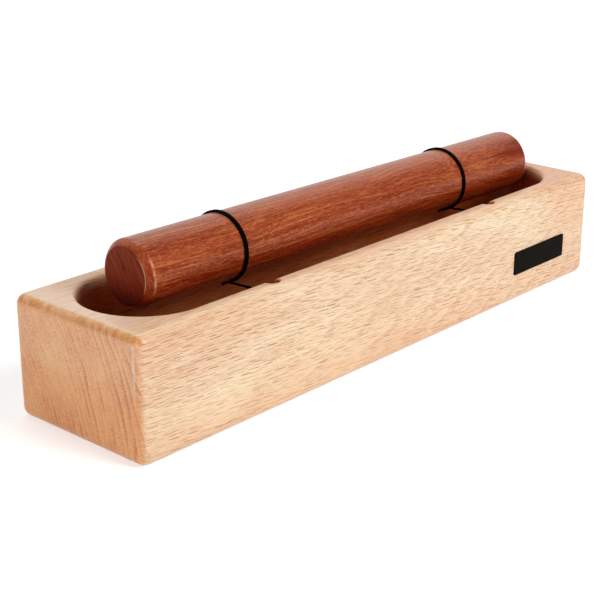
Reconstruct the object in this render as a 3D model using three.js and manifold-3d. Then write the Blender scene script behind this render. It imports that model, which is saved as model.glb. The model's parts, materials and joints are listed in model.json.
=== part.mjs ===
// Claves box: one clave hung on two elastics over a hollowed beech resonator box.
// Millimetres, +Z up. The origin is the middle of the base. +X runs along the box towards
// the name plate's end, and the front, with the plate, is on the -Y side.
import * as THREE from 'three';
import { RoundedBoxGeometry } from 'three/addons/geometries/RoundedBoxGeometry.js';
import { mergeVertices } from 'three/addons/utils/BufferGeometryUtils.js';
import Module from 'manifold-3d';

// Resonator box: a solid block with a long pocket routed into its top.
const BOX_LENGTH = 265;
const BOX_WIDTH = 64;
const BOX_HEIGHT = 45.5;
const EDGE_ROUND = 4;
const SIDE_WALL = 8.5;
const END_WALL = 8.7;
const FLOOR = 9;
const RIM_ROUND = 2;
const FLOOR_FILLET = 3;

// Clave: a round hardwood bar with eased ends.
const CLAVE_DIAMETER = 25;
const CLAVE_LENGTH = 222.6;
const CLAVE_END_ROUND = 2.5;
const CLAVE_RISE = 6; // its axis above the rim, midway between the loops
const CLAVE_SHIFT = 1.9; // its middle off the middle of the box, towards +X

// Loops: each elastic is wound round the clave and tied to a screw in either side wall.
const LOOP_SPACING = 129;
const LOOP_DROP = 1.7; // how much lower the loop at the plate's end hangs
const CORD_DIAMETER = 0.85;
const LOOP_TURNS = 2;
const TURN_GAP = 0.35; // between one turn and the next
const KNOT_DIAMETER = 1.6;
const KNOT_REACH = 3.7; // from the screw's axis towards the clave

// Anchor notches: half-round cuts down the inside of the rim, with a screw in each ledge.
const NOTCH_DIAMETER = 6;
const NOTCH_DEPTH = 5.5;
const NOTCH_INSET = 1.4; // its axis behind the pocket's wall
const SCREW_INSET = 2; // the screw's axis behind the pocket's wall
const SCREW_DIAMETER = 1.8;
const SCREW_LENGTH = 12; // under the head
const SCREW_POINT = 2.5;
const HEAD_DIAMETER = 3.6;
const HEAD_HEIGHT = 1.3;
const CORD_LIFT = 0.85; // the tied cord's underside above the ledge

// Name plate: a bare plate glued on the front.
const PLATE_LENGTH = 37;
const PLATE_HEIGHT = 10;
const PLATE_THICKNESS = 0.5;
const PLATE_CORNER = 1;
const PLATE_END_GAP = 19.5; // from the box's end
const PLATE_BASE_GAP = 12.3; // from the base

// Clearances and facet counts.
const SEAT_GAP = 0.3; // between pieces that touch on the real object
const CUT_OVER = 1; // how far a cutter runs past the face that it opens
const ROUND_STEPS = 4;
const POCKET_SIDES = 48;
const CLAVE_SIDES = 48;
const HOLE_SIDES = 24;
const SCREW_SIDES = 16;
const CORD_SIDES = 8;
const TURN_STEPS = 24;
const TAIL_STEPS = 3;
const EYE_STEPS = 9;
const GAP_SAMPLES = 1500;

const QUARTER = Math.PI / 2;
const clavePitch = Math.asin(LOOP_DROP / LOOP_SPACING);
const claveHeight = BOX_HEIGHT + CLAVE_RISE;
const pocketHalfWidth = BOX_WIDTH / 2 - SIDE_WALL;
const pocketHalfLength = BOX_LENGTH / 2 - END_WALL;
const ledgeHeight = BOX_HEIGHT - NOTCH_DEPTH;
const tieHeight = ledgeHeight + CORD_LIFT + CORD_DIAMETER / 2;
const headUnderside = tieHeight + CORD_DIAMETER / 2 + SEAT_GAP;

const wasm = await Module();
wasm.setup();

const beech = new THREE.MeshStandardMaterial({ color: 0xe9c79c, roughness: 0.55, metalness: 0 });
const rosewood = new THREE.MeshStandardMaterial({ color: 0xa04c2c, roughness: 0.35, metalness: 0 });
const elastic = new THREE.MeshStandardMaterial({ color: 0x0b0b0c, roughness: 0.7, metalness: 0 });
const brass = new THREE.MeshStandardMaterial({ color: 0xc9a24e, roughness: 0.3, metalness: 1 });
const blackPlate = new THREE.MeshStandardMaterial({ color: 0x101012, roughness: 0.25, metalness: 0.2 });

// A closed geometry as a solid that can be joined and cut.
function toSolid(geometry) {
  const bare = geometry.clone();
  bare.deleteAttribute('normal');
  bare.deleteAttribute('uv');
  const merged = mergeVertices(bare);
  const corners = merged.index.array;
  const triangles = [];
  for (let i = 0; i < corners.length; i += 3) {
    const [a, b, c] = corners.slice(i, i + 3);
    if (a !== b && b !== c && c !== a) {
      triangles.push(a, b, c);
    }
  }
  return new wasm.Manifold(new wasm.Mesh({
    numProp: 3,
    vertProperties: Float32Array.from(merged.attributes.position.array),
    triVerts: Uint32Array.from(triangles),
  }));
}

function toGeometry(solid) {
  const mesh = solid.getMesh();
  const geometry = new THREE.BufferGeometry();
  geometry.setAttribute('position', new THREE.BufferAttribute(mesh.vertProperties, 3));
  geometry.setIndex(new THREE.BufferAttribute(mesh.triVerts, 1));
  geometry.computeVertexNormals();
  return geometry;
}

// A profile of radius and height, drawn from the bottom up, turned about the Z axis.
function revolve(profile, sides, startAngle = 0) {
  const geometry = new THREE.LatheGeometry(profile.getPoints(ROUND_STEPS), sides, startAngle);
  geometry.rotateX(QUARTER);
  return geometry;
}

function uprightCylinder(diameter, bottom, top, sides) {
  const geometry = new THREE.CylinderGeometry(diameter / 2, diameter / 2, top - bottom, sides);
  geometry.rotateX(QUARTER);
  geometry.translate(0, 0, (bottom + top) / 2);
  return geometry;
}

// The pocket's half profile is turned into a round bowl, which is then pulled apart lengthwise.
function pocketCutter() {
  const rimBase = BOX_HEIGHT - RIM_ROUND;
  const profile = new THREE.Path();
  profile.moveTo(0, FLOOR);
  profile.lineTo(pocketHalfWidth - FLOOR_FILLET, FLOOR);
  profile.absarc(pocketHalfWidth - FLOOR_FILLET, FLOOR + FLOOR_FILLET, FLOOR_FILLET, -QUARTER, 0, false);
  profile.lineTo(pocketHalfWidth, rimBase);
  profile.absarc(pocketHalfWidth + RIM_ROUND, rimBase, RIM_ROUND, Math.PI, QUARTER, true);
  profile.lineTo(pocketHalfWidth + RIM_ROUND, BOX_HEIGHT + CUT_OVER);
  profile.lineTo(0, BOX_HEIGHT + CUT_OVER);
  const halfSide = Math.PI / POCKET_SIDES;
  const bowl = revolve(profile, POCKET_SIDES, halfSide);
  const flatsOut = 1 / Math.cos(halfSide);
  bowl.scale(flatsOut, flatsOut, 1);
  const corners = bowl.attributes.position;
  for (let i = 0; i < corners.count; i += 1) {
    const x = corners.getX(i);
    const pull = Math.abs(x) > SEAT_GAP ? Math.sign(x) * (pocketHalfLength - pocketHalfWidth) : 0;
    corners.setX(i, x + pull);
  }
  return bowl;
}

// The four places where an elastic is tied, by loop side (-1 left) and wall (-1 front).
const anchors = [];
for (const loop of [-1, 1]) {
  for (const wall of [-1, 1]) {
    anchors.push({
      name: `${loop < 0 ? 'left' : 'right'}_${wall < 0 ? 'front' : 'back'}`,
      x: loop * LOOP_SPACING / 2,
      notchY: wall * (pocketHalfWidth + NOTCH_INSET),
      screwY: wall * (pocketHalfWidth + SCREW_INSET),
    });
  }
}

function resonatorBox() {
  const block = new RoundedBoxGeometry(BOX_LENGTH, BOX_WIDTH, BOX_HEIGHT, ROUND_STEPS, EDGE_ROUND);
  block.translate(0, 0, BOX_HEIGHT / 2);
  let solid = toSolid(block).subtract(toSolid(pocketCutter()));
  for (const anchor of anchors) {
    const notch = uprightCylinder(NOTCH_DIAMETER, ledgeHeight, BOX_HEIGHT + CUT_OVER, HOLE_SIDES);
    notch.translate(anchor.x, anchor.notchY, 0);
    const holeBottom = headUnderside - SCREW_LENGTH - SEAT_GAP;
    const holeDiameter = SCREW_DIAMETER + 2 * SEAT_GAP;
    const hole = uprightCylinder(holeDiameter, holeBottom, ledgeHeight + CUT_OVER, SCREW_SIDES);
    hole.translate(anchor.x, anchor.screwY, 0);
    solid = solid.subtract(toSolid(notch)).subtract(toSolid(hole));
  }
  return toGeometry(solid);
}

// The clave lies along X, with its middle at the origin.
function claveBar() {
  const radius = CLAVE_DIAMETER / 2;
  const half = CLAVE_LENGTH / 2;
  const flat = radius - CLAVE_END_ROUND;
  const profile = new THREE.Path();
  profile.moveTo(0, -half);
  profile.lineTo(flat, -half);
  profile.absarc(flat, CLAVE_END_ROUND - half, CLAVE_END_ROUND, -QUARTER, 0, false);
  profile.lineTo(radius, half - CLAVE_END_ROUND);
  profile.absarc(flat, half - CLAVE_END_ROUND, CLAVE_END_ROUND, 0, QUARTER, false);
  profile.lineTo(0, half);
  const geometry = revolve(profile, CLAVE_SIDES);
  geometry.rotateY(QUARTER);
  return geometry;
}

// A round-headed wood screw, upright, with its head's underside at its working height.
function anchorScrew() {
  const tip = headUnderside - SCREW_LENGTH;
  const shank = SCREW_DIAMETER / 2;
  const head = HEAD_DIAMETER / 2;
  const profile = new THREE.Path();
  profile.moveTo(0, tip);
  profile.lineTo(shank, tip + SCREW_POINT);
  profile.lineTo(shank, headUnderside);
  profile.lineTo(head, headUnderside);
  profile.absellipse(0, headUnderside, head, HEAD_HEIGHT, 0, QUARTER, false);
  return revolve(profile, SCREW_SIDES);
}

// One elastic: an eye round the front screw, a straight tail that meets the clave's underside,
// the turns round the clave, and the same tail and eye at the back. Its parameter runs from one
// station to the next, so that each stretch gets its own number of steps.
class ElasticPath extends THREE.Curve {
  constructor(loop) {
    super();
    this.middle = new THREE.Vector3(loop * LOOP_SPACING / 2, 0, claveHeight - loop * LOOP_DROP / 2);
    this.along = new THREE.Vector3(Math.cos(clavePitch), 0, -Math.sin(clavePitch));
    this.up = new THREE.Vector3(Math.sin(clavePitch), 0, Math.cos(clavePitch));
    const clearRadius = CLAVE_DIAMETER / 2 + SEAT_GAP + CORD_DIAMETER / 2;
    this.turnRadius = clearRadius / Math.cos(Math.PI / TURN_STEPS);
    this.screwY = pocketHalfWidth + SCREW_INSET;
    const drop = this.middle.z - tieHeight;
    const reach = Math.hypot(this.screwY, drop);
    const contact = Math.atan2(-this.screwY, drop) + Math.acos(this.turnRadius / reach);
    this.turnFrom = contact;
    this.turnTo = 2 * Math.PI * LOOP_TURNS - contact;
    this.stations = this.makeStations();
  }

  // A point on the winding: angle 0 is under the clave, a quarter turn on is its back.
  onTurns(angle) {
    const pitch = CORD_DIAMETER + TURN_GAP;
    const advance = pitch * (angle / (2 * Math.PI) - LOOP_TURNS / 2);
    const point = this.middle.clone().addScaledVector(this.along, advance);
    point.addScaledVector(this.up, -this.turnRadius * Math.cos(angle));
    point.y += this.turnRadius * Math.sin(angle);
    return point;
  }

  // The eye from the knot round the screw to the tail, seen from above; wall -1 is the front.
  eye(wall) {
    const radius = SCREW_DIAMETER / 2 + SEAT_GAP + CORD_DIAMETER / 2;
    const knotSpan = Math.hypot(radius, KNOT_REACH);
    const knotAngle = Math.atan2(KNOT_REACH, -radius);
    const firstTouch = knotAngle - Math.acos(radius / knotSpan) + 2 * Math.PI;
    const points = [this.knot(wall)];
    for (let i = 0; i <= EYE_STEPS; i += 1) {
      const angle = THREE.MathUtils.lerp(firstTouch, Math.PI, i / EYE_STEPS);
      points.push(this.atScrew(wall, radius * Math.cos(angle), radius * Math.sin(angle)));
    }
    return points;
  }

  // A place beside a screw: out points along the box, in points to the clave.
  atScrew(wall, out, inward) {
    return new THREE.Vector3(this.middle.x - wall * out, wall * (this.screwY - inward), tieHeight);
  }

  // The knot sits on the tail, with its middle half a cord's width towards the eye.
  knot(wall) {
    const radius = SCREW_DIAMETER / 2 + SEAT_GAP + CORD_DIAMETER / 2;
    return this.atScrew(wall, CORD_DIAMETER / 2 - radius, KNOT_REACH);
  }

  makeStations() {
    const front = this.eye(-1);
    const back = this.eye(1).reverse();
    const turns = [];
    const steps = TURN_STEPS * LOOP_TURNS;
    for (let i = 0; i <= steps; i += 1) {
      turns.push(this.onTurns(THREE.MathUtils.lerp(this.turnFrom, this.turnTo, i / steps)));
    }
    const tail = (from, to) => {
      const points = [];
      for (let i = 1; i < TAIL_STEPS; i += 1) {
        points.push(from.clone().lerp(to, i / TAIL_STEPS));
      }
      return points;
    };
    const frontTail = tail(front.at(-1), turns[0]);
    const backTail = tail(turns.at(-1), back[0]);
    return [...front, ...frontTail, ...turns, ...backTail, ...back];
  }

  get steps() {
    return this.stations.length - 1;
  }

  getPoint(t, target = new THREE.Vector3()) {
    const place = THREE.MathUtils.clamp(t, 0, 1) * this.steps;
    const i = Math.min(Math.floor(place), this.steps - 1);
    return target.lerpVectors(this.stations[i], this.stations[i + 1], place - i);
  }

  getUtoTmapping(u) {
    return u;
  }

  // The least clear gap between stretches half a turn or more apart, on points along the path.
  leastGap() {
    const points = this.getPoints(GAP_SAMPLES);
    const apart = Math.ceil(GAP_SAMPLES * TURN_STEPS / (2 * this.steps));
    let least = Infinity;
    for (let i = 0; i < points.length; i += 1) {
      for (let j = i + apart; j < points.length; j += 1) {
        least = Math.min(least, points[i].distanceTo(points[j]));
      }
    }
    return least - CORD_DIAMETER;
  }
}

function elasticCord(path) {
  const corners = [];
  for (let i = 0; i < CORD_SIDES; i += 1) {
    const angle = 2 * Math.PI * i / CORD_SIDES;
    corners.push(new THREE.Vector2(Math.cos(angle), Math.sin(angle)).multiplyScalar(CORD_DIAMETER / 2));
  }
  const tube = new THREE.ExtrudeGeometry(new THREE.Shape(corners), { steps: path.steps, extrudePath: path });
  let solid = toSolid(tube);
  for (const wall of [-1, 1]) {
    const knot = new THREE.SphereGeometry(KNOT_DIAMETER / 2, CORD_SIDES, CORD_SIDES / 2);
    knot.translate(...path.knot(wall).toArray());
    solid = solid.add(toSolid(knot));
  }
  return toGeometry(solid);
}

// The plate stands on the front face, with its outline drawn upright and its back at y = 0.
function namePlate() {
  const x = PLATE_LENGTH / 2 - PLATE_CORNER;
  const z = PLATE_HEIGHT / 2 - PLATE_CORNER;
  const outline = new THREE.Shape();
  outline.absarc(x, z, PLATE_CORNER, 0, QUARTER, false);
  outline.absarc(-x, z, PLATE_CORNER, QUARTER, 2 * QUARTER, false);
  outline.absarc(-x, -z, PLATE_CORNER, 2 * QUARTER, 3 * QUARTER, false);
  outline.absarc(x, -z, PLATE_CORNER, 3 * QUARTER, 4 * QUARTER, false);
  const options = { depth: PLATE_THICKNESS, bevelEnabled: false, curveSegments: ROUND_STEPS };
  const geometry = new THREE.ExtrudeGeometry(outline, options);
  geometry.rotateX(QUARTER);
  return geometry;
}

const clavesBox = new THREE.Group();

function place(name, geometry, material, parent = clavesBox) {
  const mesh = new THREE.Mesh(geometry, material);
  mesh.name = name;
  parent.add(mesh);
  return mesh;
}

place('resonator_box', resonatorBox(), beech);

for (const anchor of anchors) {
  place(`${anchor.name}_screw`, anchorScrew(), brass).position.set(anchor.x, anchor.screwY, 0);
}

for (const loop of [-1, 1]) {
  const path = new ElasticPath(loop);
  place(loop < 0 ? 'left_elastic' : 'right_elastic', elasticCord(path), elastic);
  console.log(`least gap of an elastic to itself: ${path.leastGap().toFixed(2)} mm`);
}

const hung = new THREE.Group();
hung.position.set(0, 0, claveHeight);
hung.rotation.y = clavePitch;
clavesBox.add(hung);
place('clave', claveBar(), rosewood, hung).position.x = CLAVE_SHIFT;

place('name_plate', namePlate(), blackPlate).position.set(
  BOX_LENGTH / 2 - PLATE_END_GAP - PLATE_LENGTH / 2,
  -BOX_WIDTH / 2,
  PLATE_BASE_GAP + PLATE_HEIGHT / 2,
);

export default clavesBox;
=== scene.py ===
"""Claves box: a rosewood clave hung on two elastics over a hollowed beech resonator box.

Lengths are in metres, in the frame of the packed model: +X along the box towards the name
plate's end, -Y out of the front, +Z up from the base. The finishes work in millimetres.
"""

import json
import math
from functools import partialmethod

import bmesh
import bpy
from bpy.props import FloatProperty, FloatVectorProperty, IntProperty, PointerProperty
from mathutils import Matrix, Vector

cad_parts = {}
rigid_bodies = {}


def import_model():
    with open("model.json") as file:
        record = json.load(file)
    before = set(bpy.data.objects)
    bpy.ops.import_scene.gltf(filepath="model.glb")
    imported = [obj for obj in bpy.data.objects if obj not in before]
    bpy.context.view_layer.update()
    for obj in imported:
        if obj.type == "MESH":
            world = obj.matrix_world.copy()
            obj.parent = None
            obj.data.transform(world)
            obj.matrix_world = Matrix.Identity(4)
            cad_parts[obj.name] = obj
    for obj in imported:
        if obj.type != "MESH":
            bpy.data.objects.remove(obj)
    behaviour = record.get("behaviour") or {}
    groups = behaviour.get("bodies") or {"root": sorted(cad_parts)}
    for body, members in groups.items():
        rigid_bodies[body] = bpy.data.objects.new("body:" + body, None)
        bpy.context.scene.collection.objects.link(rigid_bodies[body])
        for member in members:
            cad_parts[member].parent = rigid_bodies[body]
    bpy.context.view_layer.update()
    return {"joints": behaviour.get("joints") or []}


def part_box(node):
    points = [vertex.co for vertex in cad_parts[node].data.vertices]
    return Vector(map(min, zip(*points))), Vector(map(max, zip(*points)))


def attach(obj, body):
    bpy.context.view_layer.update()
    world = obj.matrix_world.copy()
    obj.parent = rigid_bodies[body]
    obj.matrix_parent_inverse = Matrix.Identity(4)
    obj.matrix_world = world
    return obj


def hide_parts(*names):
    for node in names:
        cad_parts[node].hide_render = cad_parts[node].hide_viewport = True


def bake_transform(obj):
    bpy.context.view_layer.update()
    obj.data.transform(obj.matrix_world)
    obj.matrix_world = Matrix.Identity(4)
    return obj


bl_info = {
    "name": "Claves Box",
    "version": (1, 0, 0),
    "blender": (4, 5, 0),
    "location": "View3D > Sidebar > Claves Box",
    "description": "Dresses the packed claves box with its woods, elastics, screws and plate",
    "category": "Add Mesh",
}

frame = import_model()
BOX_LOW, BOX_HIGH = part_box("resonator_box")
BOX_SIZE = BOX_HIGH - BOX_LOW
CLAVE_LOW, CLAVE_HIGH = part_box("clave")
CLAVE_RADIUS = (CLAVE_HIGH.y - CLAVE_LOW.y) / 2
CLAVE_TURN = next(joint for joint in frame["joints"] if joint["name"] == "clave_turn")
PLATE_LOW, PLATE_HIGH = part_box("name_plate")
LOOPS = {"left": (22, 3), "right": (31, 7)}  # degrees to the knot under the clave, mm of loose end
WALLS = {"front": -1, "back": 1}
MM = 0.001
CUT_OVER = 1 * MM  # how far a cutter runs past the face that it opens
HAIR = 1e-6  # two points closer than this are in one place
LIGHT_AIM = Vector((0, 0, 0.03))


def tone(red, green, blue):
    """A colour as it is seen on a screen, 0 to 255, as linear light."""
    shares = [value / 255 for value in (red, green, blue)]
    return tuple(s / 12.92 if s <= 0.04045 else ((s + 0.055) / 1.055) ** 2.4 for s in shares)


def length(name, description, millimetres):
    """A size that a user can change, kept in metres."""
    size = millimetres * MM
    return FloatProperty(
        name=name, description=description, default=size, min=0, unit="LENGTH", precision=5
    )


def angle(name, description, degrees):
    """An angle that a user can change."""
    return FloatProperty(
        name=name, description=description, default=math.radians(degrees), subtype="ANGLE"
    )


def colour(name, description, default):
    """A colour that a user can change."""
    return FloatVectorProperty(
        name=name, description=description, default=default, size=3, min=0, max=1, subtype="COLOR"
    )


class BoxSettings(bpy.types.PropertyGroup):
    """The hollowed beech block."""

    edge_round: length("Edge round", "Radius of the block's outer edges", 4)
    side_wall: length("Side wall", "Thickness of the wall beside the pocket", 8.5)
    end_wall: length("End wall", "Thickness of the wall at the pocket's ends", 8.7)
    floor: length("Floor", "Thickness of the wood under the pocket", 9)
    floor_fillet: length("Floor fillet", "Radius where the pocket's wall meets its floor", 3)
    rim_round: length("Rim round", "Radius of the pocket's rim", 2)
    notch_diameter: length("Notch", "Diameter of the half-round notches in the rim", 6)
    notch_depth: length("Notch depth", "From the rim down to the notch's ledge", 5.5)
    notch_inset: length("Notch inset", "The notch's axis behind the pocket's wall", 1.4)
    notch_ease: length("Notch ease", "How far the notch's upper edge is broken", 0.35)
    cream: colour("Cream", "The palest beech", tone(253, 229, 194))
    blush: colour("Blush", "The pinker beech between pale patches", tone(245, 209, 174))
    fleck: colour("Fleck", "The short ray flecks along the grain", tone(138, 50, 0))
    silk: colour("Silk", "The palest threads between the flecks", tone(255, 240, 221))
    # The Arris colour is a painted highlight, a pale line on the front where a rounded end begins.
    painted_arris_highlight: colour("Arris", "The pale line where a rounded end begins", tone(250, 232, 212))
    # The Pocket colour is painted shade, darkening the pocket's wood where it lies in shade.
    pocket: colour("Pocket", "How far the pocket's raw wood is darkened", (0.56, 0.26, 0.133))
    pith_depth: length("Pith depth", "How far behind the box's middle the tree's heart lay", 92)
    pith_drop: length("Pith drop", "How far below the base the tree's heart lay", 13)
    ring_width: length("Ring width", "One year's growth in the middle of the box", 2.25)
    taper: FloatProperty(name="Taper", description="How fast the rings run out along the box", default=0.12)
    grain_lean: angle("Grain lean", "How far the grain rises along the box", -4.0)
    latewood: colour("Latewood", "The dark edge of each yearly ring", tone(186, 92, 44))


class ClaveSettings(bpy.types.PropertyGroup):
    """The hung hardwood bar."""

    length: length("Length", "End to end", 222.6)
    end_round: length("End round", "How far each end's edge is rounded back", 2.5)
    crown: length("Crown", "How far the rounded edge bulges from a plain chamfer", 0.26)
    crease: length("Crease", "Width of the soft crease on either side of the rounded edge", 0.42)
    heart: colour("Heart", "The darkest bands of the wood", tone(136, 48, 24))
    body: colour("Body", "The middle tone of the wood", tone(168, 74, 40))
    glow: colour("Glow", "The lightest streaks of the wood", tone(204, 118, 70))
    cut: colour("Cut", "The darker sawn ends", tone(117, 37, 9))
    pore: colour("Pore", "The open pores", tone(62, 18, 8))
    spark: colour("Spark", "The short bright flecks", tone(232, 160, 104))
    # The Worn colour is a painted highlight along the creases of the ends and a painted sheen along the
    # top.
    painted_highlight: colour("Worn", "The rubbed creases of the ends", tone(250, 200, 164))
    ring_width: length("Ring width", "One year's growth", 2.6)
    ring_lean: angle("Ring lean", "How far the bands lean from upright", 27)


class ElasticSettings(bpy.types.PropertyGroup):
    """The two wound elastics."""

    diameter: length("Cord", "Thickness of the cord", 0.88)
    turns: IntProperty(name="Turns", description="Turns round the clave", default=2, min=1, max=4)
    tie_rise: length("Tie height", "The tied cord's middle above the notch's ledge", 1.45)
    knot_reach: length("Knot reach", "From the screw's axis to the knot", 3.7)
    knot_turns: IntProperty(name="Knot turns", description="Wraps in each knot", default=3, min=2, max=6)
    sheath: colour("Sheath", "The braided sheath", tone(4, 3, 3))
    shade: colour("Shade", "The sheath between its threads", tone(1, 1, 1))


class ScrewSettings(bpy.types.PropertyGroup):
    """The four screws that hold the elastics."""

    shank: length("Shank", "Diameter under the head", 1.8)
    head_height: length("Head height", "Height of the domed head", 1.3)
    point: length("Point", "Length of the point", 2.5)
    slot_width: length("Slot", "Width of the driver's slot", 0.5)
    slot_depth: length("Slot depth", "Depth of the driver's slot", 0.6)
    slot_turn: angle("Slot turn", "How far the slot is turned from the box's length", 35)
    metal: colour("Metal", "The brass", tone(214, 176, 96))
    tarnish: colour("Tarnish", "The brass where it is dull", tone(172, 130, 62))


class PlateSettings(bpy.types.PropertyGroup):
    """The bare black plate on the front."""

    corner: length("Corner", "Radius of the plate's corners", 1)
    edge: length("Edge", "How far the plate's front edge is broken", 0.16)
    black: colour("Black", "The plate's black", tone(14, 10, 4))
    dust: colour("Dust", "The plate's black under dust", tone(30, 27, 23))


class StageSettings(bpy.types.PropertyGroup):
    """The floor, the light and the camera."""

    azimuth: angle("Azimuth", "Camera's turn round the object", -47.9825)
    elevation: angle("Elevation", "Camera's angle above the floor", 20.3128)
    aim: length("Aim", "Height of the point that the camera turns round", 22.8)
    distance: length("Distance", "From the camera to the middle of the box", 558.14)
    across: length("Across", "How far the camera stands to the left", 14.903)
    down: length("Down", "How far the camera stands lower", 7.916)
    lens: FloatProperty(
        name="Lens", description="Focal length on a 36 mm sensor", default=85.0, unit="CAMERA"
    )
    floor: colour("Floor", "The pale floor", (0.9, 0.9, 0.9))


GROUPS = {
    "box": BoxSettings,
    "clave": ClaveSettings,
    "elastic": ElasticSettings,
    "screw": ScrewSettings,
    "plate": PlateSettings,
    "stage": StageSettings,
}


class Value:
    """What a shader node gives out, a number, a vector or a colour, to reckon with."""

    ROW_STEP = 0.38  # how far each row of flecks is set off from the next, in cells

    def __init__(self, nodes, socket):
        self.nodes, self.socket = nodes, socket

    def reckon(self, operation, *others):
        """One step of arithmetic, on every axis if this is a vector."""
        kind = "Math" if self.socket.type == "VALUE" else "VectorMath"
        return self.nodes.add(kind, dict(enumerate((self, *others))), operation=operation)

    __add__ = partialmethod(reckon, "ADD")
    __sub__ = partialmethod(reckon, "SUBTRACT")
    __mul__ = partialmethod(reckon, "MULTIPLY")
    __truediv__ = partialmethod(reckon, "DIVIDE")
    __abs__ = partialmethod(reckon, "ABSOLUTE")
    __or__ = partialmethod(reckon, "MAXIMUM")  # the larger of the two

    def fade(self, low, high, first=0.0, last=1.0):
        """Runs smoothly from first to last as this value goes from low to high."""
        sockets = {"Value": self, "From Min": low, "From Max": high, "To Min": first, "To Max": last}
        return self.nodes.add("MapRange", sockets, interpolation_type="SMOOTHSTEP")

    def band(self, start, full, fading, end):
        """Rises from 0 at start to 1 at full, and falls from 1 at fading to 0 at end."""
        return self.fade(start, full) * self.fade(end, fading)

    def split(self):
        return self.nodes.add("SeparateXYZ", {0: self}, ("X", "Y", "Z"))

    def span(self):
        """The length of a vector."""
        return self.nodes.add("VectorMath", {0: self}, "Value", operation="LENGTH")

    def turned(self, angle, axis="X"):
        """A vector turned about one axis. The grain runs along X."""
        turn = {"Vector": self, "Angle": angle}
        return self.nodes.add("VectorRotate", turn, rotation_type=f"{axis}_AXIS")

    def noise(self, per_mm, detail=2.0, roughness=0.5, output=0):
        """Soft noise with its own frequency along each axis."""
        sockets = {"Vector": self * per_mm, "Scale": 1.0, "Detail": detail, "Roughness": roughness}
        return self.nodes.add("TexNoise", sockets, output)

    def wander(self, per_mm, detail=2.0):
        """Soft noise as a vector about zero."""
        return self.noise(per_mm, detail, output="Color") - (0.5, 0.5, 0.5)

    def dots(self, cell, core, rim):
        """Scattered dots, one to a cell in millimetres, full at the core and gone at the rim."""
        sockets = {"Vector": self * tuple(1 / side for side in cell), "Scale": 1.0}
        return self.nodes.add("TexVoronoi", sockets, "Distance").fade(rim, core)

    def spindles(self, cell, reach):
        """Flecks along the grain, one to a cell, each of its own strength, and the rims round them."""
        spread = self * (1 / cell[0], 1 / cell[1], 0)
        stepped = spread + self.nodes.joined(spread.split()[1] * self.ROW_STEP)
        sockets = {"Vector": stepped, "Scale": 1.0, "Randomness": 0.85}
        drawn = {"output": ("Position", "Color"), "voronoi_dimensions": "2D"}
        middle, own = self.nodes.add("TexVoronoi", sockets, **drawn)
        along, beside, _ = (stepped - middle).split()
        along = abs((along - beside * self.ROW_STEP) / reach[0])
        size, strength, _ = own.split()
        outline = along.reckon("POWER", 5) + abs(beside / reach[1])
        outline = outline / size.fade(0, 1, 0.6, 1.25)
        fleck = outline.fade(1.05, 0.75) * strength.fade(0, 1, 0.5, 1.0)
        return fleck, outline.band(0.9, 1.5, 1.9, 3.0) * along.fade(1.0, 0.6)


class Finish:
    """The shader nodes of one material or world, on the piece's own coordinates."""

    def __init__(self, name, kind="materials"):
        self.owner = getattr(bpy.data, kind).new(name)
        self.owner.use_nodes = True
        self.tree = self.owner.node_tree
        self.tree.nodes.clear()
        self.base = None  # the colour so far

    def add(self, kind, sockets=(), output=0, **settings):
        """A node, set up and filled with numbers and values. Returns the output or outputs named."""
        made = self.tree.nodes.new(f"ShaderNode{kind}")
        for name, value in settings.items():
            setattr(made, name, value)
        for name, value in dict(sockets).items():
            socket = made.inputs[name]
            if isinstance(value, Value):
                self.tree.links.new(value.socket, socket)
            elif socket.type == "RGBA":
                socket.default_value = (*value, 1)
            else:
                socket.default_value = value
        if isinstance(output, tuple):
            return [Value(self, made.outputs[each]) for each in output]
        return Value(self, made.outputs[output])

    def place(self, output="Object"):
        return self.add("TexCoord", output=output)

    def millimetres(self, centre=(0, 0, 0)):
        """The piece's coordinates in millimetres from a point given in metres."""
        return (self.place() - centre) * ((1 / MM,) * 3)

    def joined(self, x=0.0, y=0.0, z=0.0):
        return self.add("CombineXYZ", {0: x, 1: y, 2: z})

    def mix(self, share, first, second, blend="MIX"):
        """One colour laid over another."""
        sockets = {0: share, 6: first, 7: second}
        return self.add("Mix", sockets, 2, data_type="RGBA", blend_type=blend)

    def coat(self, colour, share, blend="MIX"):
        """Lays a colour over the one so far."""
        self.base = self.mix(share, self.base, colour, blend)

    def tint(self, colour, share):
        """Multiplies the colour so far by another one."""
        self.coat(colour, share, "MULTIPLY")

    def bump(self, height, depth, strength):
        """A relief of that depth, in millimetres."""
        sockets = {"Height": height, "Distance": depth * MM, "Strength": strength}
        return self.add("Bump", sockets)

    def finish(self, **sockets):
        """Ends the material in one surface shader, whose sockets are named with underscores."""
        named = {name.replace("_", " "): value for name, value in sockets.items()}
        shader = self.add("BsdfPrincipled", {"Base Color": self.base, **named})
        self.add("OutputMaterial", {"Surface": shader}, ())
        return self.owner


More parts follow.
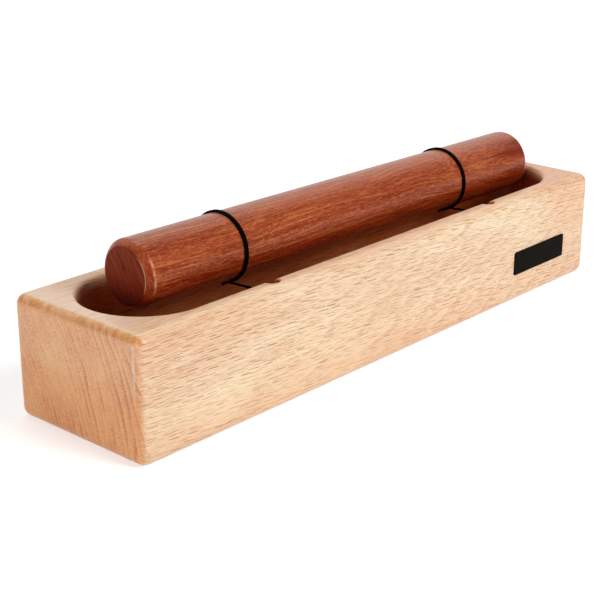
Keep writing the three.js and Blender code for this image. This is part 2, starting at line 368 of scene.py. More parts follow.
class Beech(Finish):
    """Lacquered beech: yearly rings about a far heart, flecks on the long faces, combed end grain."""

    def __init__(self, settings):
        super().__init__("lacquered_beech")
        self.settings = settings
        self.raw = self.millimetres()
        self.x, self.y, self.z = self.raw.split()
        self.drift = self.raw.wander((0.011, 0.022, 0.022))
        self.grain = self.raw.turned(settings.grain_lean, "Y") + self.drift * (0, 7, 7)
        self.depth, self.drop = settings.pith_depth / MM, settings.pith_drop / MM
        rise = math.atan2(self.drop + BOX_HIGH.z / MM / 2, self.depth)
        self.log = self.grain.turned(rise - math.pi / 2)
        self.fibre = self.log.noise((0.07, 2.0, 1.0), 3, 0.65)
        self.facing = self.place("Normal").split()
        self.endwise = abs(self.facing[0])
        self.end_grain = self.endwise.fade(0.4, 0.96)
        self.along = self.end_grain * -1 + 1
        self.upward = abs(self.facing[2]).fade(0.4, 0.97)

    def make(self):
        """The whole finish, from the rings outwards."""
        self.flecks(*self.rings())
        self.long_faces()
        self.end_faces()
        self.edges()
        self.pocket()
        return self.finish(
            Roughness=self.fibre.fade(0.3, 0.7, 0.26, 0.36),
            Specular_Tint=(1.0, 0.86, 0.68),
            Normal=self.bump(self.fibre, 0.005, 0.4),
        )

    def rings(self):
        """Yearly rings that run out along the box. Returns the late and the early wood's shares."""
        settings, x = self.settings, self.x
        patches = self.grain.noise((0.008, 0.05, 0.05), 3, 0.55)
        self.base = self.mix(patches.fade(0.36, 0.64), settings.cream, settings.blush)

        from_pith = self.raw * (0, 1, 1) - (0, self.depth, -self.drop) + self.drift * (0, 5, 5)
        growth = from_pith.span() - x * (x * 0.0004 + settings.taper) - self.depth
        years = growth / (settings.ring_width / MM) - growth * growth * 0.0015
        years = years + self.log.noise((0.006, 0.02, 0.2)) * 2
        year = years.reckon("FRACT")
        late = (year.fade(0.2, 0.9, 0, 0.45) + year.fade(0.6, 0.92, 0, 0.55)) * year.fade(1.0, 0.955)
        early = year.band(0.0, 0.05, 0.06, 0.2)

        self.ringwise = self.joined(x, self.log.split()[1], growth)
        bold = self.ringwise.noise((0.002, 0.012, 0.4)).fade(0.36, 0.62, 0.2, 1.0)
        clear = self.raw.noise((0.01, 0.05, 0.05), 1) - (self.y + self.z) * 0.006
        clear = clear.fade(0.15, 0.5, 0.15, 0.66)
        self.coat(settings.latewood, late * bold * clear * self.end_grain)
        self.coat(settings.latewood, late * self.along * 0.11)
        shown = self.raw.noise((0.014, 0.03, 0.03), 1).fade(0.42, 0.62, 0.15, 1.0)
        shown = shown * self.end_grain.fade(0, 1, 0.5, 0.2) * self.fibre.fade(0.38, 0.58, 0.45, 1.0)
        self.coat(settings.silk, early * shown)
        return late, early

    def flecks(self, late, early):
        """Short ray flecks, long and fine ones, crowded in the late wood and above the foot."""
        x, y, z = self.x, self.y, self.z
        crowd = self.grain.noise((0.012, 0.04, 0.04)) + (late - early) * 0.12
        crowd = crowd + x.fade(-40, -120) * z.fade(26, 44, 0, 0.3) - z.fade(18, 5, 0, 0.14)
        rays, ray_rims = self.log.spindles((6.4, 1.3), (0.43, 0.07))
        rays = rays * crowd.fade(0.2, 0.65, 0.55, 1.0)
        threads, thread_rims = (self.log + (31, 7, 3)).spindles((4.4, 0.9), (0.42, 0.072))
        threads = threads * crowd.fade(0.2, 0.65, 0.4, 0.8)
        shown = self.upward.fade(0, 1, 1, y.fade(-23, -29, 0.15, 0.5))
        shown = shown * self.end_grain.fade(0, 1, 1, 0.1)
        self.tint((1.0, 0.96, 0.80), (ray_rims | thread_rims) * 0.7 * shown)
        self.coat(self.settings.fleck, (rays | threads) * shown)

    def long_faces(self):
        """The fibres, the tones that change from place to place along the box, painted shade on the top
        face and a painted sheen on the top at the left end.
        """
        x, y, z, along, upward = self.x, self.y, self.z, self.along, self.upward
        self.tint((0.93, 0.77, 0.60), self.fibre.fade(0.49, 0.28, 0, 0.66))
        self.coat(self.settings.silk, self.fibre.fade(0.51, 0.7, 0, 0.64))
        self.tint((0.97, 0.89, 0.84), z.fade(20, 5) * along)  # the foot
        self.tint((0.975, 0.965, 0.96), z.fade(6, 1) * along)
        self.tint((0.945, 0.80, 0.735), x.fade(72, 114) * z.fade(8, 28))  # round the plate
        self.tint((0.98, 0.93, 0.905), x.band(-100, -70, -5, 25) * z.fade(32, 22) * along)
        self.tint((0.965, 0.86, 0.80), x.fade(-45, -112) * z.fade(25, 38))
        # Painted shade on the top face, deeper away from the left end, and a painted sheen on the top at
        # the left end, behind the front strip.
        self.tint((0.95, 0.83, 0.77), upward * x.fade(-110, 20))
        self.coat(tone(246, 218, 200), y.fade(-27, -14) * upward * x.fade(-112, -126, 0, 0.4))
        upper_edge = self.facing[2].band(0.1, 0.4, 0.75, 0.98)
        self.tint((0.95, 0.90, 0.87), upper_edge * x.fade(0, -80))

    def end_faces(self):
        """Combed end grain, crossed by rays and darker towards the foot."""
        end = self.end_grain
        comb = self.ringwise.noise((0.4, 0.1, 2.4), 3, 0.6)
        rays = self.log.noise((0.6, 3.6, 0.08), 2, 0.6)
        specks = self.log.noise((1.0, 1.8, 0.9), 2, 0.6)
        self.tint((0.88, 0.74, 0.62), comb.fade(0.42, 0.64, 0, 0.5) * end)
        self.coat(self.settings.silk, comb.fade(0.48, 0.3, 0, 0.65) * end)
        self.tint((0.88, 0.74, 0.62), rays.fade(0.42, 0.64, 0, 0.3) * end)
        self.tint((0.93, 0.86, 0.78), specks.fade(0.42, 0.62, 0, 0.8) * end)
        self.tint((1.0, 0.81, 0.675), end)
        self.tint((0.915, 0.72, 0.535), self.z.fade(37, 15) * end)

    def edges(self):
        """The stained upper edge of each end, and a painted highlight along the front where a rounded end
        begins.
        """
        stain = self.raw.noise((0.25, 0.45, 0.1), 3).fade(0.4, 0.6, 0.35, 1.0)
        stain = stain * self.endwise.band(0.2, 0.5, 0.88, 0.97)
        self.tint((0.85, 0.63, 0.31), stain * self.facing[2].fade(0.2, 0.6))
        # A painted highlight: a pale line on the front where a rounded end begins.
        line = self.log.noise((0.12, 0.3, 0.3), 3).fade(0.3, 0.6, 0.5, 1.0)
        line = line * self.endwise.band(0.9, 0.975, 0.985, 0.9998) * self.z.fade(20, 36, 0.06, 0.9)
        self.coat(self.settings.painted_arris_highlight, line * self.facing[1].fade(-0.03, -0.14, 0.05, 0.7))

    def pocket(self):
        """Painted shade in the pocket and its notches: their wood darkened, lighter from the middle of the
        box on and darkest towards the plate's end.
        """
        settings, x, z = self.settings, self.x, self.z
        top, ledge = BOX_HIGH.z / MM, (BOX_HIGH.z - settings.notch_depth) / MM
        drill = settings.notch_diameter / 2 / MM
        wall = (BOX_HIGH.y - settings.side_wall + settings.notch_inset) / MM + drill
        end = (BOX_HIGH.x - settings.end_wall) / MM
        low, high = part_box("right_front_screw")
        loop = (low.x + high.x) / 2 / MM
        notch = abs(abs(x) - loop).fade(drill + 0.7, drill + 0.2) * z.fade(top - 0.1, top - 0.9)
        painted_pocket_shade = (z.fade(top - 0.9, ledge) | notch) * abs(self.y).fade(wall + 0.7, wall)
        painted_pocket_shade = painted_pocket_shade * abs(x).fade(end + 2.2, end + 0.2)
        # Painted shade over the pocket and notches, painted light from the middle on, and deeper painted
        # shade towards the plate's end.
        self.tint(settings.pocket, painted_pocket_shade)
        self.tint((1.35, 1.45, 1.5), painted_pocket_shade * x.fade(-5, 40))
        self.tint((0.66, 0.43, 0.28), painted_pocket_shade * x.fade(74, 106))
        self.tint((0.55, 0.5, 0.6), painted_pocket_shade * x.fade(104, 116))


class Rosewood(Finish):
    """Polished red-brown hardwood: rings cut lengthwise, fine streaks, short pores and bright flecks."""

    def __init__(self, settings, centre, pitch):
        super().__init__("polished_rosewood")
        self.settings = settings
        self.raw = self.millimetres(centre).turned(pitch, "Y")
        self.x, self.y, self.z = self.raw.split()
        parted = self.x.fade(34, 116, 0, 8.5) * self.z.fade(4.6, 9.6, -1, 1)
        grain = self.raw + self.raw.wander((0.016, 0.03, 0.03), 1) * (0, 7, 7)
        self.grain = grain - self.joined(z=parted)
        self.log = self.grain.turned(settings.ring_lean)
        self.endwise = abs(self.place("Normal").split()[0])
        self.end_grain = self.endwise.fade(0.8, 0.97)
        self.bands = self.log.noise((0.005, 0.22, 0.05), 3, 0.55)
        self.streaks = self.log.noise((0.02, 1.7, 1.3), 5, 0.68)
        self.fine = self.grain.noise((0.32, 3.4, 3.4), 2, 0.6)
        self.pores = self.log.dots((3.6, 0.42, 0.42), 0.16, 0.3)
        years = self.log.split()[1] / (settings.ring_width / MM)
        self.year = (years + self.log.noise((0.02, 0.2, 0.1), 3) * 2.6).reckon("FRACT")

    def make(self):
        """The whole finish, from the bands outwards."""
        self.side()
        self.sawn_ends()
        self.painted_shade_and_sheen()
        self.flame()
        self.painted_crease_highlights()
        return self.finish(
            Roughness=self.streaks.fade(0.3, 0.7, 0.25, 0.35) + self.end_grain * 0.3,
            Specular_Tint=(0.7, 0.22, 0.1),
            Normal=self.bump(self.fine * 0.4 - self.pores * 0.6, 0.03, 0.4),
        )

    def side(self):
        """Bands, streaks, pores and flecks along the bar, fainter where its ends turn over."""
        settings, streaks, fine = self.settings, self.streaks, self.fine
        side = self.endwise.fade(0.3, 0.9, 1.0, 0.5)
        self.base = self.mix(self.bands.fade(0.34, 0.56), settings.heart, settings.body)
        self.coat(settings.heart, self.year.band(0.35, 0.96, 0.965, 1.0) * 0.4)
        self.coat(settings.glow, streaks.fade(0.49, 0.66, 0, 0.75) * side)
        self.coat(settings.heart, streaks.fade(0.48, 0.32, 0, 0.75) * side)
        self.coat(settings.glow, fine.fade(0.5, 0.68, 0, 0.6) * side)
        self.coat(settings.pore, fine.fade(0.48, 0.3, 0, 0.4) * side)
        self.coat(settings.pore, self.pores * side * 0.5)
        sparks = (self.log + (5, 2, 9)).dots((2.4, 0.8, 0.8), 0.1, 0.22)
        self.coat(settings.spark, sparks * side * 0.45)

    def sawn_ends(self):
        """Darker sawn ends with combed pores and dark ring lines, and painted shade towards their bottom.
        """
        settings, side = self.settings, self.base
        comb = self.log.noise((0.3, 2.2, 0.12), 4, 0.65)
        bold = self.log.noise((0.02, 0.34, 0.03)).fade(0.4, 0.6, 0.15, 1.0)
        lines = self.year.band(0.62, 0.9, 0.94, 1.0) * bold * self.bands.fade(0.4, 0.58, 1.0, 0.8)
        self.base = settings.cut
        self.coat(settings.body, comb.fade(0.45, 0.65, 0, 0.3))
        self.coat(settings.pore, comb.fade(0.47, 0.3, 0, 0.5))
        self.coat(settings.pore, lines)
        # Painted shade, darkening the sawn ends towards their bottom.
        self.tint((0.62, 0.44, 0.34), self.z.fade(6, -11, 0, 0.75))
        self.base = self.mix(self.end_grain, side, self.base)

    def painted_shade_and_sheen(self):
        """Painted shade on the underside, deepest at its ends, a painted sheen along the top, and a little
        darker towards the plate's end.
        """
        x, z = self.x, self.z
        # Painted shade on the underside, deepest at the ends.
        self.tint((0.79, 0.41, 0.15), z.fade(-0.3, -3.4, 0, 0.8))
        self.tint((0.74, 0.5, 0.36), z.fade(-4.5, -10.5))
        self.tint((0.44, 0.24, 0.3), z.fade(-4, -9.5) * abs(x).fade(103, 108))
        # A painted sheen along the top.
        self.coat(self.settings.painted_highlight, z.fade(9.8, 12.4, 0, 0.1))
        self.tint((0.92, 0.90, 0.92), x.fade(-70, 30, 0, 0.6))

    def flame(self):
        """A pale flame at the plate's end that opens round a dark heart."""
        flame = abs(self.z - 7) - (self.x - 88) * 0.16 + (self.streaks - 0.5) * 5
        self.coat(self.settings.glow, flame.fade(6.5, 3.0, 0, 0.05))
        self.tint((0.66, 0.42, 0.46), flame.fade(1.6, -1.0))
        self.tint((0.82, 0.64, 0.62), self.x.fade(78, 100) * self.bands.fade(0.36, 0.56, 0.9, 0.45))

    def painted_crease_highlights(self):
        """A painted highlight along the creases on either side of each rounded end, at the front."""
        settings = self.settings
        back = settings.end_round / MM
        from_axis = (self.raw * (0, 1, 1)).span()
        inner = abs(from_axis - (CLAVE_RADIUS / MM - back + 0.1)).fade(0.05, 0.34, 0.42, 0)
        inner = inner * self.endwise.fade(0.5, 0.7)
        outer = abs(abs(self.x) - (settings.length / MM / 2 - back)).fade(0.0, 0.75, 0.46, 0)
        outer = outer * self.raw.noise((1.6, 0.5, 0.5), 3).fade(0.36, 0.62, 0.2, 1.0)
        # The painted highlight falls only on the front of each crease.
        front = self.y.fade(-3, -7) * self.z.band(-5.5, -1.5, 5, 9)
        self.coat(settings.painted_highlight, (inner | outer) * front)


def sheath_finish(settings):
    """Black braided cord: two sets of threads that cross, on the cord's own map."""
    cord = Finish("braided_elastic")
    around, along, _ = cord.place("UV").split()
    waves = [way * math.tau for way in (around * 4 + along, around * 4 - along)]
    rising, falling = (wave.reckon("SINE") + 1 for wave in waves)
    threads = (rising * falling).fade(0.0, 2.2)
    cord.base = cord.mix(threads, settings.shade, settings.sheath)
    return cord.finish(
        Roughness=cord.millimetres().noise((2, 2, 2)).fade(0.3, 0.7, 0.55, 0.75),
        Specular_IOR_Level=0.03,
        Normal=cord.bump(threads, 0.05, 0.6),
    )


def brass_finish(settings):
    """Turned brass with faint rings from the lathe."""
    brass = Finish("turned_brass")
    place = brass.millimetres()
    haze = place.noise((0.8, 0.8, 0.8), 3)
    brass.base = brass.mix(haze.fade(0.4, 0.7), settings.metal, settings.tarnish)
    return brass.finish(
        Metallic=1.0,
        Roughness=haze.fade(0.3, 0.7, 0.22, 0.38),
        Normal=brass.bump(place.noise((2, 2, 14)), 0.01, 0.5),
    )


def plate_finish(settings):
    """Gloss black with the slight ripple of a moulded face."""
    gloss = Finish("gloss_black")
    place = gloss.millimetres()
    dust = place.noise((4, 4, 4), 3)
    gloss.base = gloss.mix(dust.fade(0.55, 0.8, 0, 0.25), settings.black, settings.dust)
    return gloss.finish(
        Roughness=dust.fade(0.3, 0.7, 0.18, 0.3),
        Specular_IOR_Level=0.014,
        Normal=gloss.bump(place.noise((0.35, 0.35, 0.35)), 0.05, 0.3),
    )


def smooth(shape, limit):
    """Shades a shape smoothly, with a crease wherever two faces meet at more than the limit."""
    for face in shape.faces:
        face.smooth = True
    for edge in shape.edges:
        edge.smooth = len(edge.link_faces) == 2 and edge.calc_face_angle(0) < limit


def put(name, data):
    """A new object in the scene."""
    made = bpy.data.objects.new(name, data)
    bpy.context.scene.collection.objects.link(made)
    return made


def piece(name, shape, material=None):
    """A new object at the origin, made from a bmesh that is then freed."""
    mesh = bpy.data.meshes.new(name)
    shape.to_mesh(mesh)
    shape.free()
    if material:
        mesh.materials.append(material)
    return put(name, mesh)


def turned_shape(profile, steps, place=(0, 0, 0)):
    """A closed bmesh: a profile of radius and height, turned about an upright axis."""
    shape = bmesh.new()
    points = [shape.verts.new((radius, 0, height)) for radius, height in profile]
    edges = [shape.edges.new(pair) for pair in zip(points, points[1:])]
    turn = {"cent": (0, 0, 0), "axis": (0, 0, 1), "angle": math.tau}
    bmesh.ops.spin(shape, geom=points + edges, steps=steps, use_merge=True, **turn)
    bmesh.ops.remove_doubles(shape, verts=shape.verts, dist=HAIR)
    bmesh.ops.recalc_face_normals(shape, faces=shape.faces)
    bmesh.ops.translate(shape, verts=shape.verts, vec=place)
    return shape


def block(size, centre):
    """A bmesh block."""
    shape = bmesh.new()
    bmesh.ops.create_cube(shape, size=1, matrix=Matrix.Diagonal((*size, 1)))
    bmesh.ops.translate(shape, verts=shape.verts, vec=centre)
    return shape


def bevel(shape, edges, offset, segments):
    """Rounds some edges of a bmesh."""
    rounding = {"affect": "EDGES", "segments": segments, "profile": 0.5, "material": -1}
    bmesh.ops.bevel(shape, geom=edges, offset=offset, **rounding)


def shares(count):
    """Even steps from 0 to 1, both included."""
    return [i / count for i in range(count + 1)]


def arc(centre, radius, start, end, steps):
    """Points of an arc in the plane of radius and height, both ends included."""
    angles = [start + (end - start) * share for share in shares(steps)]
    return [(centre[0] + radius * math.cos(a), centre[1] + radius * math.sin(a)) for a in angles]


def carve(target, shape):
    """Cuts a bmesh out of an object's mesh."""
    cutter = piece("cutter", shape)
    cut = target.modifiers.new("Cut", "BOOLEAN")
    cut.operation = "DIFFERENCE"
    cut.solver = "EXACT"
    cut.object = cutter
    view = bpy.context.evaluated_depsgraph_get()
    carved = bpy.data.meshes.new_from_object(target.evaluated_get(view))
    target.modifiers.remove(cut)
    plain, target.data = target.data, carved
    carved.name = target.name
    bpy.data.batch_remove((plain, cutter, cutter.data))


def recrease(target, limit, merge=False):
    """Sets a carved object's creases, after merging the stray points of its cuts when asked."""
    shape = bmesh.new()
    shape.from_mesh(target.data)
    if merge:
        bmesh.ops.remove_doubles(shape, verts=shape.verts, dist=2 * HAIR)
        bmesh.ops.dissolve_degenerate(shape, edges=shape.edges, dist=HAIR)
    smooth(shape, limit)
    shape.to_mesh(target.data)
    shape.free()


def even_shading(target):
    """Lets the large flat faces keep their shading flat beside the small rounded ones."""
    modifier = target.modifiers.new("Even shading", "WEIGHTED_NORMAL")
    modifier.keep_sharp = True


class CLAVES_OT_resonator_box(bpy.types.Operator):
    """Makes the beech block with its pocket, rim and notches"""

    bl_idname = "claves.resonator_box"
    bl_label = "Resonator Box"

    def execute(self, context):
        settings = context.scene.claves_box.box
        shape = block(BOX_SIZE, (BOX_LOW + BOX_HIGH) / 2)
        bevel(shape, shape.edges, settings.edge_round, 8)
        made = piece("box_body", shape)
        carve(made, self.pocket(settings))
        for loop in LOOPS:
            for wall, side in WALLS.items():
                carve(made, self.notch(settings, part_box(f"{loop}_{wall}_screw"), side))
        recrease(made, math.radians(32), merge=True)
        made.data.materials.append(Beech(settings).make())
        even_shading(made)
        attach(made, "box")
        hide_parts("resonator_box")
        return {"FINISHED"}

    def pocket(self, settings, steps=96):
        """The pocket's own shape: a round bowl, pulled apart lengthwise."""
        half_width = BOX_SIZE.y / 2 - settings.side_wall
        half_length = BOX_SIZE.x / 2 - settings.end_wall
        fillet, rim, top = settings.floor_fillet, settings.rim_round, BOX_SIZE.z
        profile = [(0, settings.floor)]
        profile += arc((half_width - fillet, settings.floor + fillet), fillet, -math.pi / 2, 0, 6)
        profile += arc((half_width + rim, top - rim), rim, math.pi, math.pi / 2, 8)
        profile += [(half_width + rim, top + CUT_OVER), (0, top + CUT_OVER)]
        bowl = turned_shape(profile, steps)
        pull = half_length - half_width
        bmesh.ops.rotate(bowl, verts=bowl.verts, matrix=Matrix.Rotation(math.pi / steps, 3, "Z"))
        for sign in (-1, 1):
            ends = [v for v in bowl.verts if v.co.x * sign > HAIR]
            bmesh.ops.translate(bowl, verts=ends, vec=(sign * pull, 0, 0))
        return bowl

    def notch(self, settings, screw, side):
        """The notch's own shape: a drill that also breaks its upper edge."""
        middle = (screw[0] + screw[1]) / 2
        radius, ease, top = settings.notch_diameter / 2, settings.notch_ease, BOX_SIZE.z
        ledge = top - settings.notch_depth
        axis_y = side * (BOX_SIZE.y / 2 - settings.side_wall + settings.notch_inset)
        profile = [(0, ledge), (radius, ledge), (radius, top - ease), (radius + ease, top)]
        profile += [(radius + ease, top + CUT_OVER), (0, top + CUT_OVER)]
        return turned_shape(profile, 40, (middle.x, axis_y, 0))


class CLAVES_OT_clave(bpy.types.Operator):
    """Makes the hung clave with its eased ends"""

    bl_idname = "claves.clave"
    bl_label = "Clave"

    def execute(self, context):
        settings = context.scene.claves_box.clave
        radius, ring = CLAVE_RADIUS, CLAVE_RADIUS * 0.45  # a ring of points on each sawn end
        half, back = settings.length / 2, settings.end_round
        profile = [(0, -half), (ring, -half)]
        profile += self.edge(settings, (radius - back, -half), (radius, back - half))
        profile += [(radius, back - half + (half - back) * i / 12) for i in range(1, 24)]
        profile += reversed(self.edge(settings, (radius - back, half), (radius, half - back)))
        profile += [(ring, half), (0, half)]
        bar = turned_shape(profile, 128)
        bevel(bar, self.creases(bar, half), settings.crease, 2)
        smooth(bar, math.radians(30))
        axis = Vector(CLAVE_TURN["axis"])
        centre = (CLAVE_LOW + CLAVE_HIGH) / 2
        turn = Vector((0, 0, 1)).rotation_difference(axis).to_matrix()
        bmesh.ops.rotate(bar, verts=bar.verts, matrix=turn)
        bmesh.ops.translate(bar, verts=bar.verts, vec=centre)
        made = piece("clave_bar", bar, Rosewood(settings, centre, math.atan2(axis.z, axis.x)).make())
        even_shading(made)
        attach(made, "clave")
        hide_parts("clave")
        return {"FINISHED"}

    def edge(self, settings, start, end):
        """The rounded edge of one end: a shallow arc that keeps a crease at either side."""
        first, last = Vector(start), Vector(end)
        out = Vector((1, math.copysign(1, first.y))).normalized()
        bulge = out * settings.crown * 4
        return [tuple(first.lerp(last, share) + bulge * share * (1 - share)) for share in shares(10)]

    def creases(self, bar, half):
        """The edges round the bar where a rounded end meets the sawn end or the side."""
        found = []
        for edge in bar.edges:
            start, end = (vert.co for vert in edge.verts)
            at_end = abs(abs(start.z) - half) < HAIR or abs(start.xy.length - CLAVE_RADIUS) < HAIR
            round_bar = abs(start.z - end.z) < HAIR
            if at_end and round_bar and edge.calc_face_angle(0) > math.radians(9):
                found.append(edge)
        return found


class Elastic:
    """The route of one elastic: its eyes, tails and winding, with every point in metres."""

    PRESSED = 0.97  # from the wood to the middle of the wound cord, in its radius
    LAID = 1.02  # from one turn to the next, in its thickness
    EYE_ROOM = 1.05  # from the screw to the middle of the tied cord, in its radius
    STUB = 1.2, 0.6  # how far the cut end stands out along the cord and upwards, in wraps
    STEPS = 24  # round an eye, and along a tail
    KNOT_STEPS = 16  # in each wrap of a knot
    BEND_STEPS = 8  # along the loose end, and round its bend

    def __init__(self, settings, box, loop):
        self.settings = settings
        self.radius = settings.diameter / 2
        screws = {wall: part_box(f"{loop}_{wall}_screw") for wall in WALLS}
        self.screws = {wall: (low + high) / 2 for wall, (low, high) in screws.items()}
        self.along = Vector(CLAVE_TURN["axis"]).normalized()
        pivot = Vector(CLAVE_TURN["pos_m"])
        self.middle = pivot + self.along * ((self.screws["front"].x - pivot.x) / self.along.x)
        self.up = self.along.cross(Vector((0, 1, 0)))
        self.turn_radius = CLAVE_RADIUS + self.radius * self.PRESSED
        self.pitch = settings.diameter * self.LAID
        self.tie = BOX_HIGH.z - box.notch_depth + settings.tie_rise
        knot, loose = LOOPS[loop]
        self.first = -math.radians(knot)
        self.last = math.tau * settings.turns - self.first
        self.loose = loose * MM

    def on_clave(self, advance, angle):
        """A point beside the clave: angle 0 is under it, a quarter turn on is its back."""
        point = self.middle + self.along * advance - self.up * self.turn_radius * math.cos(angle)
        point.y += self.turn_radius * math.sin(angle)
        return point

    def wound(self, angle):
        """A point on the winding."""
        return self.on_clave(self.pitch * (angle / math.tau - self.settings.turns / 2), angle)

    def winding(self, steps=96):
        """The loose end along the clave, bent into the turns round it."""
        bend = self.settings.diameter
        advance = self.pitch * (self.first / math.tau - self.settings.turns / 2)
        bending = shares(self.BEND_STEPS)[:-1]
        beside = self.first - bend / self.turn_radius
        points = [self.on_clave(advance - bend - self.loose * (1 - share), beside) for share in bending]
        for share in bending:
            turn = math.pi / 2 * share
            away = bend * (1 - math.sin(turn)), bend * math.cos(turn) / self.turn_radius
            points.append(self.on_clave(advance - away[0], self.first - away[1]))
        count = steps * self.settings.turns
        step = (self.last - self.first) / count
        return points + [self.wound(self.first + step * i) for i in range(count + 1)]

    def tail(self, wall, shank):
        """From the knot's stub round the screw and along to the winding."""
        side = WALLS[wall]
        screw = self.screws[wall]
        eye = shank / 2 + self.radius * self.EYE_ROOM
        end = self.wound(self.first if side < 0 else self.last)

        def beside(out, inward):
            return Vector((screw.x - side * out, side * (abs(screw.y) - inward), self.tie))

        reach = self.settings.knot_reach
        wrap, wraps = self.pitch, self.settings.knot_turns
        start = beside(-eye, reach)
        heading = (end - start).normalized()
        lift = Vector((0, 0, 1))
        flank = heading.cross(lift) * -side
        knot = []
        for i in range(wraps * self.KNOT_STEPS + 1):
            done = i / self.KNOT_STEPS
            turn = math.tau * done
            middle = start + heading * wrap * (wraps / 2 - done)
            knot.append(middle + (flank * math.cos(turn) + lift * math.sin(turn)) * wrap)
        stub = knot[0] + heading * wrap * self.STUB[0] + lift * wrap * self.STUB[1]
        first = math.atan2(reach, -eye) - math.acos(eye / math.hypot(eye, reach)) + math.tau
        loop = [beside(*point) for point in arc((0, 0), eye, first, math.pi, self.STEPS)]
        straight = [loop[-1].lerp(end, share) for share in shares(self.STEPS)[1:]]
        return [stub, *knot, *loop, *straight]


def cord_shape(points, radius, sides=12):
    """A round tube along a list of points, capped at both ends, with a map around and along it."""
    shape = bmesh.new()
    layer = shape.loops.layers.uv.new("UVMap")
    rings, run, marks = [], 0.0, {}
    heading = (points[1] - points[0]).normalized()
    across = heading.orthogonal().normalized()
    for i, point in enumerate(points):
        before, after = points[max(i - 1, 0)], points[min(i + 1, len(points) - 1)]
        onward = (after - before).normalized()
        across = heading.rotation_difference(onward) @ across
        heading = onward
        across = (across - heading * across.dot(heading)).normalized()
        run += (point - before).length
        facing = Matrix((across, heading.cross(across), heading)).transposed().to_4x4()
        place = Matrix.Translation(point) @ facing
        outermost = i in (0, len(points) - 1)
        ring = bmesh.ops.create_circle(
            shape, segments=sides, radius=radius, matrix=place, cap_ends=outermost
        )["verts"]
        rings.append(ring)
        marks.update({v: (k / sides, run / (math.tau * radius)) for k, v in enumerate(ring)})
    for first, second in zip(rings, rings[1:]):
        pair = {*first, *second}
        edges = {e for v in pair for e in v.link_edges if pair.issuperset(e.verts)}
        bmesh.ops.bridge_loops(shape, edges=list(edges))
    bmesh.ops.recalc_face_normals(shape, faces=shape.faces)
    for face in shape.faces:
        over_seam = max(marks[v][0] for v in face.verts) > 0.75
        for corner in face.loops:
            around, along = marks[corner.vert]
            corner[layer].uv = (around + (1 if over_seam and around < 0.25 else 0), along)
    smooth(shape, math.radians(60))
    return shape


class CLAVES_OT_elastics(bpy.types.Operator):
    """Makes the two elastics: their windings, tails and knots"""

    bl_idname = "claves.elastics"
    bl_label = "Elastics"

    def execute(self, context):
        settings = context.scene.claves_box
        sheath = sheath_finish(settings.elastic)
        for loop in LOOPS:
            route = Elastic(settings.elastic, settings.box, loop)
            winding = piece(f"{loop}_winding", cord_shape(route.winding(), route.radius), sheath)
            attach(winding, "loops")
            self.stand_for(winding, loop)
            for wall, side in WALLS.items():
                points = route.tail(wall, settings.screw.shank)
                tail = piece(f"{loop}_{wall}_tail", cord_shape(points, route.radius), sheath)
                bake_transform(tail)
                self.stand_for(tail, loop)
        return {"FINISHED"}

    def stand_for(self, made, loop):
        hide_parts(f"{loop}_elastic")


class CLAVES_OT_screws(bpy.types.Operator):
    """Makes the four screws that the elastics are tied to"""

    bl_idname = "claves.screws"
    bl_label = "Screws"

    def execute(self, context):
        settings = context.scene.claves_box.screw
        brass = brass_finish(settings)
        for loop in LOOPS:
            for wall in WALLS:
                name = f"{loop}_{wall}_screw"
                low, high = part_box(name)
                made = piece(f"{loop}_{wall}_anchor", self.body(settings, low, high), brass)
                carve(made, self.slot(settings, low, high))
                recrease(made, math.radians(30))
                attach(made, "box")
                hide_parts(name)
        return {"FINISHED"}

    def body(self, settings, low, high):
        """The pointed shank and the domed head, in their place."""
        head = (high.x - low.x) / 2
        under = high.z - settings.head_height
        shank = settings.shank / 2
        profile = [(0, low.z), (shank, low.z + settings.point), (shank, under), (head, under)]
        dome = arc((0, 0), 1, 0, math.pi / 2, 12)[1:-1]
        profile += [(head * out, under + settings.head_height * up) for out, up in dome]
        profile.append((0, high.z))
        middle = (low + high) / 2
        return turned_shape(profile, 32, (middle.x, middle.y, 0))

    def slot(self, settings, low, high):
        """The driver's slot across the head."""
        size = (high.x - low.x + CUT_OVER, settings.slot_width, settings.slot_depth * 2)
        middle = (low + high) / 2
        middle.z = high.z
        shape = block(size, middle)
        turn = Matrix.Rotation(settings.slot_turn, 3, "Z")
        bmesh.ops.rotate(shape, verts=shape.verts, cent=middle, matrix=turn)
        return shape


class CLAVES_OT_plate(bpy.types.Operator):
    """Makes the bare black plate on the front"""

    bl_idname = "claves.plate"
    bl_label = "Name Plate"

    def execute(self, context):
        settings = context.scene.claves_box.plate
        size = PLATE_HIGH - PLATE_LOW
        shape = block(size, (PLATE_LOW + PLATE_HIGH) / 2)
        corners = [e for e in shape.edges if abs(e.verts[0].co.y - e.verts[1].co.y) > size.y / 2]
        bevel(shape, corners, settings.corner, 6)
        rim = [e for e in shape.edges if all(abs(v.co.y - PLATE_LOW.y) < HAIR for v in e.verts)]
        bevel(shape, rim, settings.edge, 3)
        smooth(shape, math.radians(40))
        made = piece("bare_plate", shape, plate_finish(settings))
        even_shading(made)
        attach(made, "box")
        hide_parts("name_plate")
        return {"FINISHED"}


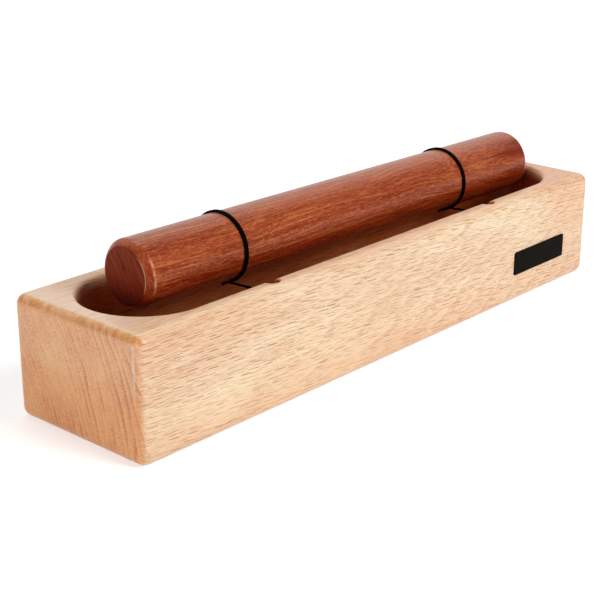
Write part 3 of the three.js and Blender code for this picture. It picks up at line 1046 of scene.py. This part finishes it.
class CLAVES_OT_stage(bpy.types.Operator):
    """Sets the floor, the soft light and the camera"""

    bl_idname = "claves.stage"
    bl_label = "Stage"

    def execute(self, context):
        settings = context.scene.claves_box.stage
        context.scene.view_settings.view_transform = "Standard"
        self.floor(settings)
        self.world(context.scene)
        self.lamp("front_softbox", (0.5, -1.45, 1.25), 1.0, 27)
        self.lamp("top_softbox", (0.1, 0.55, 1.5), 1.0, 6.5)
        self.lamp("end_softbox", (-1.6, -0.3, 0.45), 0.8, 9.5)
        self.camera(context.scene, settings)
        return {"FINISHED"}

    def floor(self, settings):
        """A wide pale floor that shows white to the camera and keeps the shadow."""
        shape = bmesh.new()
        bmesh.ops.create_grid(shape, x_segments=1, y_segments=1, size=6)
        pale = Finish("pale_floor")
        camera, mirror = self.seen(pale)
        level = pale.place().span().fade(0.35, 0.9, 0.5, 1.0)
        plain = pale.add("BsdfDiffuse", {"Color": settings.floor})
        glow = pale.add("Emission", {"Strength": (camera | mirror) * level})
        both = pale.add("AddShader", {0: plain, 1: glow})
        pale.add("OutputMaterial", {"Surface": both}, ())
        ground = piece("floor", shape, pale.owner)

    def seen(self, nodes):
        """Whether the camera sees a place, and whether a mirror or a clear face shows it."""
        rays = ("Is Camera Ray", "Is Glossy Ray", "Is Transmission Ray")
        camera, glossy, clear = nodes.add("LightPath", output=rays)
        return camera, glossy | clear

    def world(self, scene):
        """White to the camera, a white backdrop and a dim room to mirrors, and a quiet even light."""
        studio = Finish("studio", "worlds")
        scene.world = studio.owner
        camera, mirror = self.seen(studio)
        room = studio.place("Generated").split()[1].fade(-0.45, 0.15, 0.2, 1.0)
        level = camera | mirror * room | 0.1
        sky = studio.add("Background", {"Color": (1, 1, 1), "Strength": level})
        studio.add("OutputWorld", {"Surface": sky}, ())

    def lamp(self, name, place, size, power):
        """A square soft light that faces the object."""
        light = bpy.data.lights.new(name, "AREA")
        light.shape = "SQUARE"
        light.size = size
        light.energy = power
        made = put(name, light)
        made.location = place
        made.rotation_euler = (LIGHT_AIM - Vector(place)).to_track_quat("-Z", "Y").to_euler()

    def camera(self, scene, settings):
        """The photograph's viewpoint."""
        tilt = Matrix.Rotation(math.pi / 2 - settings.elevation, 3, "X")
        facing = Matrix.Rotation(settings.azimuth, 3, "Z") @ tilt
        stand = Vector((-settings.across, -settings.down, settings.distance))
        lens = bpy.data.cameras.new("camera")
        lens.sensor_width = 36
        lens.lens = settings.lens
        made = put("camera", lens)
        made.location = Vector((0, 0, settings.aim)) + facing @ stand
        made.rotation_euler = facing.to_euler()
        scene.camera = made


STEPS = (
    CLAVES_OT_stage,
    CLAVES_OT_resonator_box,
    CLAVES_OT_clave,
    CLAVES_OT_elastics,
    CLAVES_OT_screws,
    CLAVES_OT_plate,
)


class CLAVES_PT_panel(bpy.types.Panel):
    """Lists the pieces and their sizes in the 3D view's sidebar"""

    bl_idname = "CLAVES_PT_panel"
    bl_label = "Claves Box"
    bl_space_type = "VIEW_3D"
    bl_region_type = "UI"
    bl_category = "Claves Box"

    def draw(self, context):
        for step in STEPS:
            self.layout.operator(step.bl_idname)
        for group, kind in GROUPS.items():
            box = self.layout.box()
            box.label(text=kind.__doc__)
            for name in kind.__annotations__:
                box.prop(getattr(context.scene.claves_box, group), name)


class ClavesBoxSettings(bpy.types.PropertyGroup):
    """All sizes and colours of the claves box."""

    __annotations__ = {name: PointerProperty(type=kind) for name, kind in GROUPS.items()}


CLASSES = (*GROUPS.values(), ClavesBoxSettings, *STEPS, CLAVES_PT_panel)


def register():
    for each in CLASSES:
        bpy.utils.register_class(each)
    bpy.types.Scene.claves_box = PointerProperty(type=ClavesBoxSettings)


def unregister():
    del bpy.types.Scene.claves_box
    for each in reversed(CLASSES):
        bpy.utils.unregister_class(each)


def main():
    register()
    for step in STEPS:
        group, name = step.bl_idname.split(".")
        getattr(getattr(bpy.ops, group), name)()


if __name__ == "__main__":
    main()
